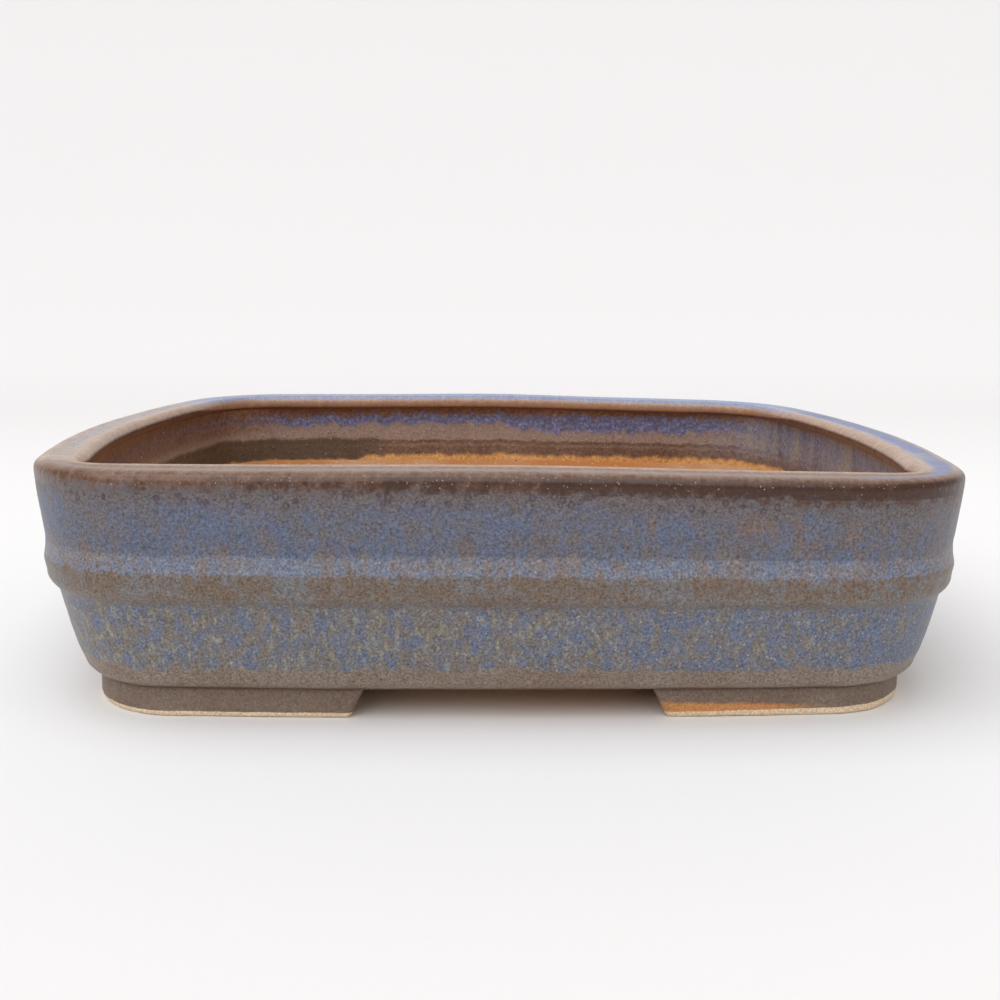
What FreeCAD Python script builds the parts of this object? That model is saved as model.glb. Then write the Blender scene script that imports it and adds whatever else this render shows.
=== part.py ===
"""Bonsai pot: a shallow, soft-cornered rectangular stoneware pot on four corner feet.

The potter builds it from separate pieces of clay, luted together before glazing: a floor slab with
its drain and wire holes, two wall tiers, a belt over the seam between them, a flat in-turned lip, and
four feet. Each piece is one STEP file in parts/. Millimetres, +Z up, +X along the long side, the front
towards -Y, origin on the resting plane under the middle of the pot.
"""
import FreeCAD
import Part
import math
import os

Vec = FreeCAD.Vector
ORIGIN = Vec(0, 0, 0)
UP = Vec(0, 0, 1)

# Overall size, at the lip
LENGTH = 175.0
DEPTH = 140.0
HEIGHT = 45.0

# Plan of the lip's outer edge: each side is a shallow bowed arc, joined by tangent corner arcs
LONG_SIDE_RADIUS = 1200.0
SHORT_SIDE_RADIUS = 220.0
CORNER_RADIUS = 26.0

# Levels, from the resting plane up
FOOT_HEIGHT = 5.8
LAP_LEVEL = 8.0          # the lower tier stands on the floor slab's stepped edge here
FLOOR_TOP = 11.8
BELT_BOTTOM = 22.1
TIER_SEAM = 26.8         # the two wall tiers meet here, behind the belt
BELT_TOP = 31.3
LIP_BOTTOM = 41.4

# The lip: how far its inner edge stands in, and the shape of its top
LIP_INNER = 10.4
LIP_CROWN_IN = 5.2       # the highest line of the lip's top, measured in from its outer edge
LIP_CROWN_RISE = 0.4
LIP_ROLL = 1.35          # radius of its upper edges
LIP_UNDER_ROLL = 0.7
LIP_LOWER_EDGE = 0.4     # radius where its outside meets the wall

# How far every other face stands in from the lip's outer edge
WALL_TOP_OUT = 0.25
WALL_TOP_IN = 7.3
WALL_HOLLOW = 0.12       # how far the upper tier is hollowed behind a straight line
BELT_TOP_OUT = 1.2
BELT_CROWN_OUT = 0.75
BELT_BOTTOM_OUT = 2.0
BELT_LEDGE = 0.35        # how far the lower tier stands in under the belt
BELT_SEAT = 3.8          # back of the rebate that holds the belt
SEAM_IN = 7.9
LOWER_BULGE = (4.3, 14.2)  # inset and height of the middle of the lower tier's outside
COVE = (9.6, 16.6)          # the same for its coved inside
COVE_FOOT = 13.2
LAP_OUT = 6.2
LAP_STEP = 10.6          # upright of the slab's step
SLAB_EDGE = (6.95, 6.8)     # inset and height of the middle of the slab's rounded edge
SLAB_UNDER_OUT = 8.2

# The feet, and the gaps between them at the top; a foot's end slopes out by GAP_SLOPE to the ground
FOOT_OUT = 8.75
FOOT_IN = 20.0
FOOT_NECK = 0.4          # depth of the groove where the foot tucks under the slab
FOOT_EDGE_RADIUS = 0.7
LONG_GAP = 47.0
SHORT_GAP = 40.0
GAP_SLOPE = 2.6
GAP_CORNER = 1.2

# Holes in the floor slab
DRAIN_RADIUS = 8.0
DRAIN_X = 36.0
WIRE_RADIUS = 2.0
WIRE_X = 54.0
WIRE_Y = 35.0
HOLE_EDGE_RADIUS = 0.6


def corner_centre():
    """Centre of the front right corner arc, which is tangent to the front and right side arcs."""
    front_centre = Vec(0, LONG_SIDE_RADIUS - DEPTH / 2, 0)
    right_centre = Vec(LENGTH / 2 - SHORT_SIDE_RADIUS, 0, 0)
    from_front = LONG_SIDE_RADIUS - CORNER_RADIUS
    from_right = SHORT_SIDE_RADIUS - CORNER_RADIUS
    span = right_centre - front_centre
    along = (from_front**2 - from_right**2 + span.Length**2) / (2 * span.Length)
    across = math.sqrt(from_front**2 - along**2)
    unit = Vec(span).normalize()
    return front_centre + unit * along + Vec(-unit.y, unit.x, 0) * across


def plan_arcs():
    """The eight arcs of the plan, anticlockwise: (centre, radius, start angle, sweep), in degrees."""
    corner = corner_centre()
    half_front = math.degrees(math.asin(corner.x / (LONG_SIDE_RADIUS - CORNER_RADIUS)))
    half_right = math.degrees(math.asin(-corner.y / (SHORT_SIDE_RADIUS - CORNER_RADIUS)))
    corner_sweep = 90 - half_front - half_right
    right_half = [
        (Vec(0, LONG_SIDE_RADIUS - DEPTH / 2, 0), LONG_SIDE_RADIUS, -90 - half_front, 2 * half_front),
        (corner, CORNER_RADIUS, -90 + half_front, corner_sweep),
        (Vec(LENGTH / 2 - SHORT_SIDE_RADIUS, 0, 0), SHORT_SIDE_RADIUS, -half_right, 2 * half_right),
        (Vec(corner.x, -corner.y, 0), CORNER_RADIUS, half_right, corner_sweep),
    ]
    left_half = [(-centre, radius, start + 180, sweep) for centre, radius, start, sweep in right_half]
    return right_half + left_half


def line(a, b):
    return Part.LineSegment(Vec(*a), Vec(*b)).toShape()


def arc(a, through, b):
    return Part.Arc(Vec(*a), Vec(*through), Vec(*b)).toShape()


def point(inset, z):
    """A profile point, given by how far it stands in from the lip's outer edge and how high it is."""
    return (-inset, 0, z)


def rounding(before, corner, after, radius):
    """Start, middle and end of the arc that rounds the corner between two straight lines."""
    tip = Vec(*corner)
    back = (Vec(*before) - tip).normalize()
    ahead = (Vec(*after) - tip).normalize()
    half_angle = back.getAngle(ahead) / 2
    reach = radius / math.tan(half_angle)
    inward = (back + ahead).normalize() * (radius / math.sin(half_angle) - radius)
    return tuple(tip + back * reach), tuple(tip + inward), tuple(tip + ahead * reach)


def ring(edges):
    """Sweeps a closed profile round the plan. Each arc of the plan is one exact turn of the profile."""
    profile = Part.Face(Part.Wire(edges))
    turns = []
    for centre, radius, start, sweep in plan_arcs():
        section = profile.copy()
        section.translate(Vec(radius, 0, 0))
        section.rotate(ORIGIN, UP, start)
        section.translate(centre)
        turns.append(section.revolve(centre, UP, sweep))
    return turns[0].multiFuse(turns[1:]).removeSplitter()


def plate(inset, bottom, top):
    """A flat plate whose edge is the plan moved in by inset."""
    edges = []
    for centre, radius, start, sweep in plan_arcs():
        angles = [math.radians(start + sweep * share) for share in (0, 0.5, 1)]
        reach = radius - inset
        edges.append(arc(*[(centre.x + reach * math.cos(angle), centre.y + reach * math.sin(angle), bottom)
                           for angle in angles]))
    return Part.Face(Part.Wire(edges)).extrude(UP * (top - bottom))


def lip():
    """The softly crowned flat strip on top of the wall, which overhangs the wall on the inside."""
    shoulder = HEIGHT - LIP_CROWN_RISE
    outer_low = point(0, LIP_BOTTOM)
    outer_top = point(0, shoulder)
    crown = point(LIP_CROWN_IN, HEIGHT)
    inner_top = point(LIP_INNER, shoulder)
    inner_low = point(LIP_INNER, LIP_BOTTOM)
    wall_edge = rounding(inner_low, outer_low, outer_top, LIP_LOWER_EDGE)
    outer_roll = rounding(outer_low, outer_top, crown, LIP_ROLL)
    inner_roll = rounding(crown, inner_top, inner_low, LIP_ROLL)
    under_roll = rounding(inner_top, inner_low, outer_low, LIP_UNDER_ROLL)
    return ring([
        arc(*wall_edge),
        line(wall_edge[2], outer_roll[0]),
        arc(*outer_roll),
        arc(outer_roll[2], crown, inner_roll[0]),
        arc(*inner_roll),
        line(inner_roll[2], under_roll[0]),
        arc(*under_roll),
        line(under_roll[2], wall_edge[0]),
    ])


def upper_wall():
    """The upper tier: slightly hollow outside, rebated below for the belt."""
    out_top = point(WALL_TOP_OUT, LIP_BOTTOM)
    hollow = point((WALL_TOP_OUT + BELT_TOP_OUT) / 2 + WALL_HOLLOW, (LIP_BOTTOM + BELT_TOP) / 2)
    out_low = point(BELT_TOP_OUT, BELT_TOP)
    seat_top = point(BELT_SEAT, BELT_TOP)
    seat_low = point(BELT_SEAT, TIER_SEAM)
    in_low = point(SEAM_IN, TIER_SEAM)
    in_top = point(WALL_TOP_IN, LIP_BOTTOM)
    return ring([
        arc(out_top, hollow, out_low),
        line(out_low, seat_top),
        line(seat_top, seat_low),
        line(seat_low, in_low),
        line(in_low, in_top),
        line(in_top, out_top),
    ])


def belt():
    """The raised band, set in the rebate across the seam of the two tiers; its underside turns in."""
    top = point(BELT_TOP_OUT, BELT_TOP)
    shoulder = point((BELT_TOP_OUT + BELT_CROWN_OUT) / 2 - 0.1, (BELT_TOP + TIER_SEAM) / 2)
    crown = point(BELT_CROWN_OUT, TIER_SEAM)
    turn_under = point((BELT_CROWN_OUT * 3 + BELT_BOTTOM_OUT) / 4, (TIER_SEAM + BELT_BOTTOM) / 2)
    low = point(BELT_BOTTOM_OUT, BELT_BOTTOM)
    seat_low = point(BELT_SEAT, BELT_BOTTOM)
    seat_top = point(BELT_SEAT, BELT_TOP)
    return ring([
        arc(top, shoulder, crown),
        arc(crown, turn_under, low),
        line(low, seat_low),
        line(seat_low, seat_top),
        line(seat_top, top),
    ])


def lower_wall():
    """The bowl-shaped lower tier: it laps over the floor slab's step, and is coved inside."""
    seat_top = point(BELT_SEAT, TIER_SEAM)
    seat_low = point(BELT_SEAT, BELT_BOTTOM)
    out_top = point(BELT_BOTTOM_OUT + BELT_LEDGE, BELT_BOTTOM)
    out_low = point(LAP_OUT, LAP_LEVEL)
    step_low = point(LAP_STEP, LAP_LEVEL)
    step_top = point(LAP_STEP, FLOOR_TOP)
    in_low = point(COVE_FOOT, FLOOR_TOP)
    in_top = point(SEAM_IN, TIER_SEAM)
    return ring([
        line(seat_top, seat_low),
        line(seat_low, out_top),
        arc(out_top, point(*LOWER_BULGE), out_low),
        line(out_low, step_low),
        line(step_low, step_top),
        line(step_top, in_low),
        arc(in_low, point(*COVE), in_top),
        line(in_top, seat_top),
    ])


def hole_cutter(radius, x, y):
    """What is pushed out of the slab for one hole, with both of the hole's edges rounded."""
    edge = HOLE_EDGE_RADIUS
    bite = edge * (1 - math.sqrt(0.5))
    below = FOOT_HEIGHT - 1
    above = FLOOR_TOP + 1
    profile = Part.Wire([
        line((0, 0, below), (radius + edge, 0, below)),
        line((radius + edge, 0, below), (radius + edge, 0, FOOT_HEIGHT)),
        arc((radius + edge, 0, FOOT_HEIGHT), (radius + bite, 0, FOOT_HEIGHT + bite),
            (radius, 0, FOOT_HEIGHT + edge)),
        line((radius, 0, FOOT_HEIGHT + edge), (radius, 0, FLOOR_TOP - edge)),
        arc((radius, 0, FLOOR_TOP - edge), (radius + bite, 0, FLOOR_TOP - bite),
            (radius + edge, 0, FLOOR_TOP)),
        line((radius + edge, 0, FLOOR_TOP), (radius + edge, 0, above)),
        line((radius + edge, 0, above), (0, 0, above)),
        line((0, 0, above), (0, 0, below)),
    ])
    cutter = Part.Face(profile).revolve(ORIGIN, UP, 360)
    cutter.translate(Vec(x, y, 0))
    return cutter


def floor_slab():
    """The base: its stepped edge carries the lower tier, and its holes drain and tie the planting."""
    inside = COVE_FOOT + 1
    edge = ring([
        arc(point(LAP_OUT, LAP_LEVEL), point(*SLAB_EDGE), point(SLAB_UNDER_OUT, FOOT_HEIGHT)),
        line(point(SLAB_UNDER_OUT, FOOT_HEIGHT), point(inside, FOOT_HEIGHT)),
        line(point(inside, FOOT_HEIGHT), point(inside, FLOOR_TOP)),
        line(point(inside, FLOOR_TOP), point(LAP_STEP, FLOOR_TOP)),
        line(point(LAP_STEP, FLOOR_TOP), point(LAP_STEP, LAP_LEVEL)),
        line(point(LAP_STEP, LAP_LEVEL), point(LAP_OUT, LAP_LEVEL)),
    ])
    slab = edge.fuse(plate(inside, FOOT_HEIGHT, FLOOR_TOP)).removeSplitter()
    drains = [hole_cutter(DRAIN_RADIUS, side * DRAIN_X, 0) for side in (-1, 1)]
    wires = [hole_cutter(WIRE_RADIUS, side * WIRE_X, row * WIRE_Y) for side in (-1, 1) for row in (-1, 1)]
    return slab.cut(drains + wires)


def gap_cutter(width, length):
    """The clay cut away between two feet, running along Y, with sloped ends and eased corners."""
    ground = -2.0
    edges = []
    for side in (1, -1):
        middle_top = (0, 0, FOOT_HEIGHT)
        roof = (side * width / 2, 0, FOOT_HEIGHT)
        toe = (side * (width / 2 + GAP_SLOPE), 0, 0)
        beyond_toe = (side * width, 0, 0)
        top_turn = rounding(middle_top, roof, toe, GAP_CORNER)
        toe_turn = rounding(roof, toe, beyond_toe, GAP_CORNER)
        below_toe = (toe_turn[2][0], 0, ground)
        edges += [
            line(middle_top, top_turn[0]),
            arc(*top_turn),
            line(top_turn[2], toe_turn[0]),
            arc(*toe_turn),
            line(toe_turn[2], below_toe),
            line(below_toe, (0, 0, ground)),
        ]
    cutter = Part.Face(Part.Wire(Part.__sortEdges__(edges))).extrude(Vec(0, length, 0))
    cutter.translate(Vec(0, -length / 2, 0))
    return cutter


def feet():
    """The four corner feet, moulded as one strip round the plan and cut apart along the four sides."""
    neck = point(FOOT_OUT + FOOT_NECK, FOOT_HEIGHT)
    neck_middle = point(FOOT_OUT + FOOT_NECK / 4, FOOT_HEIGHT * 0.84)
    belly = point(FOOT_OUT, FOOT_HEIGHT * 0.62)
    out_low = point(FOOT_OUT + 0.1, 0)
    in_low = point(FOOT_IN - 0.4, 0)
    in_top = point(FOOT_IN, FOOT_HEIGHT)
    out_edge = rounding(belly, out_low, in_low, FOOT_EDGE_RADIUS)
    in_edge = rounding(out_low, in_low, in_top, FOOT_EDGE_RADIUS)
    strip = ring([
        arc(neck, neck_middle, belly),
        line(belly, out_edge[0]),
        arc(*out_edge),
        line(out_edge[2], in_edge[0]),
        arc(*in_edge),
        line(in_edge[2], in_top),
        line(in_top, neck),
    ])
    across = gap_cutter(SHORT_GAP, 2 * LENGTH)
    across.rotate(ORIGIN, UP, 90)
    named = {}
    for foot in strip.cut([gap_cutter(LONG_GAP, 2 * DEPTH), across]).Solids:
        row = "front" if foot.CenterOfMass.y < 0 else "back"
        side = "left" if foot.CenterOfMass.x < 0 else "right"
        named[f"foot_{row}_{side}"] = foot
    return named


def main():
    os.makedirs("parts", exist_ok=True)
    pieces = {
        "floor_slab": floor_slab(),
        "lower_wall": lower_wall(),
        "belt": belt(),
        "upper_wall": upper_wall(),
        "lip": lip(),
    }
    pieces.update(feet())
    for name, shape in pieces.items():
        if not shape.isValid() or len(shape.Solids) != 1:
            raise RuntimeError(f"{name} is not one sound solid")
        shape.exportStep(f"parts/{name}.step")


main()
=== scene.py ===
import math

import bmesh
import bpy
from mathutils import Matrix, Vector, noise
from mathutils.geometry import delaunay_2d_cdt


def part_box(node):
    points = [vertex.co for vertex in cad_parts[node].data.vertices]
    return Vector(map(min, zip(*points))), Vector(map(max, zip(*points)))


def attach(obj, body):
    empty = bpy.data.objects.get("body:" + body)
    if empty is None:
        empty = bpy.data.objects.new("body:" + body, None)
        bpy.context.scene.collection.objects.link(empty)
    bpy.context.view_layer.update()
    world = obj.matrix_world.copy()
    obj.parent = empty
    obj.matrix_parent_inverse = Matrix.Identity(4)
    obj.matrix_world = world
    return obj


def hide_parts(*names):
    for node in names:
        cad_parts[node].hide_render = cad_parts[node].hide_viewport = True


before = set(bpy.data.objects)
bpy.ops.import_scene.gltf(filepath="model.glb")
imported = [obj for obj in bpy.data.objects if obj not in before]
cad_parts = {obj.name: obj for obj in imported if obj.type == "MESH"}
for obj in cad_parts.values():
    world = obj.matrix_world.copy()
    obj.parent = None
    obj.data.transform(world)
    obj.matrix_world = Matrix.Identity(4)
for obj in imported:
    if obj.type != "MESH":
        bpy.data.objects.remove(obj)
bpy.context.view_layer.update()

# ------------
# Floor slab. A rolled sheet of stoneware, cut to the plan, with its edge stepped to carry the
# wall, and pierced while soft with two drain holes and four wire holes. Only its edge is glazed;
# the kiln has flashed the bare clay from cream to orange.

MM = 0.001
LONG_SIDE_RADIUS = 1200.0  # the plan is four bowed sides joined by corner arcs, all in mm
SHORT_SIDE_RADIUS = 220.0
CORNER_RADIUS = 26.0
KILN_SINK = 1.0  # how far the rim has sunk in the kiln
KILN_LEAN = 0.0105  # how much more for every mm towards the right hand end
KILN_ARCH = 0.6  # how much less in the middle, and over what reach
ARCH_REACH = 33.0
KILN_DROOP = 0.4  # how much more at that distance from the middle, and steeply beyond
DROOP_AT = 80.0
LAP_STEP = 10.6  # inset of the step in the slab's edge, and of the foot of the wall's cove
COVE_FOOT = 13.2
SLAB_GRAIN = 1.7  # spacing of the points on the slab's two faces
SLAB_MARGIN = 0.985  # share of the outline within which they lie
SLAB_RIPPLE = 0.14
SHEET_JOIN = 0.02  # how near two points are joined
HOLE_SIDES = 40
HOLE_ROUNDING = 0.6
DRAIN_RADIUS, DRAIN_X = 8.0, 36.0
WIRE_RADIUS, WIRE_X, WIRE_Y = 2.0, 54.0, 35.0

HALF_LENGTH, HALF_DEPTH, RIM_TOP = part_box("lip")[1] / MM
FLOOR_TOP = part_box("floor_slab")[1].z / MM
FLOOR_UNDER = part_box("floor_slab")[0].z / MM
LAP_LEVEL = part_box("lower_wall")[0].z / MM


def plan_arcs():
    """The plan's arcs, anticlockwise from the middle of the front: centre, radius, start and sweep."""
    front_y = LONG_SIDE_RADIUS - HALF_DEPTH
    right_x = HALF_LENGTH - SHORT_SIDE_RADIUS
    from_front = LONG_SIDE_RADIUS - CORNER_RADIUS
    from_right = SHORT_SIDE_RADIUS - CORNER_RADIUS
    span = math.hypot(right_x, front_y)
    along = (from_front**2 - from_right**2 + span**2) / (2 * span)
    across = math.sqrt(from_front**2 - along**2)
    unit_x, unit_y = right_x / span, -front_y / span
    corner_x = unit_x * along - unit_y * across
    corner_y = front_y + unit_y * along + unit_x * across
    half_front = math.asin(corner_x / from_front)
    half_right = math.asin(-corner_y / from_right)
    corner_sweep = math.pi / 2 - half_front - half_right
    quarter = -math.pi / 2
    right = [
        (0, front_y, LONG_SIDE_RADIUS, quarter, half_front),
        (corner_x, corner_y, CORNER_RADIUS, quarter + half_front, corner_sweep),
        (right_x, 0, SHORT_SIDE_RADIUS, -half_right, 2 * half_right),
        (corner_x, -corner_y, CORNER_RADIUS, half_right, corner_sweep),
        (0, -front_y, LONG_SIDE_RADIUS, -quarter - half_front, half_front),
    ]
    left = [(-x, -y, radius, start + math.pi, sweep) for x, y, radius, start, sweep in right]
    return right + left


PLAN = plan_arcs()
PLAN_LENGTH = sum(radius * sweep for _, _, radius, _, sweep in PLAN)


def plan_at(walked):
    """The plan's point that far round from the middle of the front, and the way out from there."""
    walked %= PLAN_LENGTH
    for x, y, radius, start, sweep in PLAN:
        if walked <= radius * sweep + 1e-9:
            break
        walked -= radius * sweep
    angle = start + walked / radius
    out = Vector((math.cos(angle), math.sin(angle)))
    return Vector((x, y)) + out * radius, out


def settled(x, y, z):
    """Where the kiln has left a point of the built shape, in metres."""
    sunk = (KILN_SINK + KILN_LEAN * x - KILN_ARCH * math.exp(-(x / ARCH_REACH) ** 2)
            + KILN_DROOP * (x / DROOP_AT) ** 4)
    return Vector((x, y, z * (1 - sunk / RIM_TOP))) * MM


def chip(red, green, blue):
    """A colour as read off a glaze test chip, 0 to 255 each, in the linear light a shader wants."""
    return tuple(((part / 255 + 0.055) / 1.055) ** 2.4 for part in (red, green, blue)) + (1.0,)


def sign(operation, backwards=False):
    """A method that adds a Math node, so that sums can be written on sockets."""
    return lambda self, other: self.sum(operation, *((other, self) if backwards else (self, other)))


class Socket:
    """An output socket of a node tree. Sums on it add Math nodes; node() adds any other node."""

    def __init__(self, tree, socket=None):
        self.tree = tree
        self.socket = socket

    def node(self, kind, settings=None, values=None, output=0):
        """Adds a node, sets its properties or its ramp's stops, fills its inputs, gives one output."""
        made = self.tree.nodes.new(kind)
        for name, value in (settings or {}).items():
            if name == "stops":
                ramp = made.color_ramp.elements
                while len(ramp) < len(value):
                    ramp.new(1.0)
                for stop, (position, colour) in zip(ramp, value):
                    stop.position = position
                    stop.color = colour
            else:
                setattr(made, name, value)
        for name, value in (values or {}).items():
            if isinstance(value, Socket):
                self.tree.links.new(value.socket, made.inputs[name])
            else:
                made.inputs[name].default_value = value
        return Socket(self.tree, made.outputs[output])

    def sum(self, operation, first, second=0.0):
        return self.node("ShaderNodeMath", {"operation": operation}, {0: first, 1: second})

    __add__, __radd__ = sign("ADD"), sign("ADD", True)
    __sub__, __rsub__ = sign("SUBTRACT"), sign("SUBTRACT", True)
    __mul__, __rmul__ = sign("MULTIPLY"), sign("MULTIPLY", True)
    __truediv__, most = sign("DIVIDE"), sign("MAXIMUM")

    def bell(self, reach):
        """1 at 0, falling to nearly 0 at twice the reach."""
        return self.sum("EXPONENT", self * self * (-1 / reach**2))

    def rise(self, low, high):
        """0 at low and 1 at high with a soft slope between; low may be above high, to fall instead."""
        return self.node("ShaderNodeMapRange", {"interpolation_type": "SMOOTHSTEP"},
                         {"Value": self, "From Min": low, "From Max": high})

    def within(self, low, high, soft):
        """1 from low to high, fading to 0 over the soft distance beyond them."""
        return self.rise(low - soft, low + soft) * self.rise(high + soft, high - soft)

    def axis(self, name):
        return self.node("ShaderNodeSeparateXYZ", {}, {0: self}, name)

    def vector(self, operation, other):
        return self.node("ShaderNodeVectorMath", {"operation": operation}, {0: self, 1: other})

    def times(self, amount):
        """A colour or vector, this many times as strong."""
        return self.node("ShaderNodeVectorMath", {"operation": "SCALE"}, {0: self, "Scale": amount})

    def noise(self, size, squash=1.0, detail=2.0, rough=0.5, shift=0.0):
        """Soft noise, about -0.5 to 0.5, in lumps of that size; squash below 1 draws them upright."""
        place = self.vector("MULTIPLY", (1 / size, 1 / size, squash / size))
        place = place.vector("ADD", (shift, shift * 0.7, -shift))
        values = {"Vector": place, "Scale": 1.0, "Detail": detail, "Roughness": rough}
        return self.node("ShaderNodeTexNoise", {}, values) - 0.5

    def read(self, name, kind="FLOAT"):
        """A value that the points of a mesh carry under that name."""
        return self.node("GeometryNodeInputNamedAttribute", {"data_type": kind}, {"Name": name})

    def cells(self, size, squash=1.0, shift=0.0):
        """Scattered points in cells of that size: nearness to one, 0 to about 1, and its own number."""
        place = self.vector("MULTIPLY", (1 / size, 1 / size, squash / size))
        place = place.vector("ADD", (shift, -shift, shift * 0.3))
        values = {"Vector": place, "Scale": 1.0, "Randomness": 1.0}
        far = self.node("ShaderNodeTexVoronoi", {}, values, "Distance")
        number = self.node("ShaderNodeTexVoronoi", {}, values, "Color").axis("X")
        return far, number

    def dots(self, size, share, reach, squash=1.0, shift=0.0):
        """Round dots of that reach, in a share of the cells."""
        far, number = self.cells(size, squash, shift)
        return far.rise(reach, reach * 0.4) * number.rise(share + 0.02, share - 0.02)

    def blend(self, first, second):
        """The colour that runs from first to second, sockets or chips, as this goes from 0 to 1."""
        first, second = (end if isinstance(end, Socket) else chip(*end) for end in (first, second))
        return self.node("ShaderNodeMix", {"data_type": "RGBA"}, {0: self, 6: first, 7: second}, 2)

    def ramp(self, *stops):
        """The colour that this value picks from a row of chips at given stops."""
        stops = [(position, chip(*colour)) for position, colour in stops]
        return self.node("ShaderNodeValToRGB", {"stops": stops}, {0: self})


def new_finish(name, specular=0.5):
    """A material, its shader, and the place on the object in millimetres."""
    material = bpy.data.materials.new(name)
    material.use_nodes = True
    shader = material.node_tree.nodes["Principled BSDF"]
    shader.inputs["Specular IOR Level"].default_value = specular
    place = Socket(material.node_tree).node("ShaderNodeTexCoord", {}, {}, "Object").times(1 / MM)
    return material, shader, place


def sinking(x):
    """How far the kiln has let the rim sink at x, as a share of its height."""
    square = x * x * (1 / DROOP_AT**2)
    warp = x * KILN_LEAN - x.bell(ARCH_REACH) * KILN_ARCH + square * square * KILN_DROOP
    return (warp + KILN_SINK) / RIM_TOP


def built_height(place):
    """The height a point had before the kiln, so that a finish follows the shape and not the floor."""
    return place.axis("Z") / (1 - sinking(place.axis("X")))


def dress(shader, colour, roughness, relief):
    """Plugs a finish into its shader. relief is a height in millimetres."""
    tree = colour.tree
    tree.links.new(colour.socket, shader.inputs["Base Color"])
    tree.links.new(roughness.socket, shader.inputs["Roughness"])
    normal = relief.node("ShaderNodeBump", {}, {"Height": relief, "Distance": MM, "Strength": 1.0})
    tree.links.new(normal.socket, shader.inputs["Normal"])


def bare_clay():
    """Unglazed stoneware: cream with dark iron specks and pale grog, toasted orange in clouds."""
    material, shader, place = new_finish("bare_clay", specular=0.25)
    cloud = place.noise(34, detail=3, shift=4)
    grain = place.noise(0.5, shift=9)
    grog = place.dots(1.3, 0.35, 0.34, shift=2)
    iron = place.dots(1.9, 0.22, 0.2, shift=7)
    scrape = place.vector("MULTIPLY", (1, 0.07, 1)).noise(1.1, detail=3, shift=3)
    toasted = (cloud * 2.6 + place.noise(6, shift=1) * 0.5 + scrape * 0.3 + 0.6).rise(0, 1)
    colour = toasted.blend((212, 186, 154), (200, 140, 86))
    colour = (grain.rise(-0.2, 0.3) * 0.35).blend(colour, (172, 128, 88))
    colour = (grog * 0.45).blend(colour, (230, 206, 174))
    colour = (iron * 0.7).blend(colour, (96, 62, 42))
    relief = grain * 0.05 + place.noise(1.4, shift=5) * 0.08 + grog * 0.05 - iron * 0.06 + scrape * 0.05
    dress(shader, colour, grain * 0.15 + 0.86, relief)
    return material


def new_tree(name, kinds):
    """A Geometry Nodes tree with those inputs: the tree, its inputs by name, and a place to start."""
    tree = bpy.data.node_groups.new(name, "GeometryNodeTree")
    for label, kind in kinds.items():
        tree.interface.new_socket(label, in_out="INPUT", socket_type="NodeSocket" + kind)
    tree.interface.new_socket("Strip", in_out="OUTPUT", socket_type="NodeSocketGeometry")
    inputs = tree.nodes.new("NodeGroupInput")
    return tree, {socket.name: Socket(tree, socket) for socket in inputs.outputs}, Socket(tree)


def clay_strip_tree():
    """A strip of clay with a given profile, laid round the plan and pressed uneven by hand."""
    tree, given, start = new_tree("clay_strip", {
        "Plan": "Geometry", "Profile": "Object", "Wander": "Float", "Lumps": "Float", "Seed": "Float",
        "Outside": "Material", "Inside": "Material",
    })
    rail = start.node("GeometryNodeMeshToCurve", {}, {"Mesh": given["Plan"]})
    shape = start.node("GeometryNodeObjectInfo", {}, {"Object": given["Profile"]}, "Geometry")
    section = start.node("GeometryNodeMeshToCurve", {}, {"Mesh": shape})
    strip = start.node("GeometryNodeCurveToMesh", {}, {"Curve": rail, "Profile Curve": section})

    plan_point, way_out = start.read("plan_point", "FLOAT_VECTOR"), start.read("way_out", "FLOAT_VECTOR")
    inset, level, give = start.read("inset") * start.read("reach"), start.read("level"), start.read("give")
    up = start.node("ShaderNodeCombineXYZ", {}, {"Z": level})
    true = plan_point.vector("SUBTRACT", way_out.times(inset)).vector("ADD", up)
    seed = start.node("ShaderNodeCombineXYZ", {}, {"X": given["Seed"]})
    place = true.vector("ADD", seed)
    sway = place.noise(42, detail=1) * 2 + place.noise(13, squash=0.8, detail=1, shift=3) * 0.8
    lump = place.noise(4.5, detail=2, shift=7) + place.noise(1.5, detail=1, shift=5) * 0.45
    push = (sway * given["Wander"] + lump * given["Lumps"]) * give
    settle = (place.noise(30, detail=1, shift=12) - 0.5) * given["Wander"] * give
    pushed = way_out.times((inset - push).most(0.03))
    lowered = (level + settle) * (1 - sinking(plan_point.axis("X")))
    height = start.node("ShaderNodeCombineXYZ", {}, {"Z": lowered})
    final = plan_point.vector("SUBTRACT", pushed).vector("ADD", height).times(MM)
    strip = start.node("GeometryNodeSetPosition", {}, {"Geometry": strip, "Position": final})

    strip = start.node("GeometryNodeRealizeInstances", {}, {"Geometry": strip})
    strip = start.node("GeometryNodeSetMaterial", {}, {"Geometry": strip, "Material": given["Outside"]})
    lining = start.node("FunctionNodeCompare", {"data_type": "FLOAT", "operation": "GREATER_THAN"},
                        {"A": start.read("lining"), "B": 0.5})
    strip = start.node("GeometryNodeSetMaterial", {}, {
        "Geometry": strip, "Selection": lining, "Material": given["Inside"]})
    output = tree.nodes.new("NodeGroupOutput")
    tree.links.new(strip.socket, output.inputs["Strip"])
    return tree


CLAY_STRIP = clay_strip_tree()
HAND_WANDER = 0.26  # how far the hand strays over a long reach, and over a short one
HAND_LUMPS = 0.14


def placed(name, data):
    """A new object in the scene."""
    made = bpy.data.objects.new(name, data)
    bpy.context.collection.objects.link(made)
    return made


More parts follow.
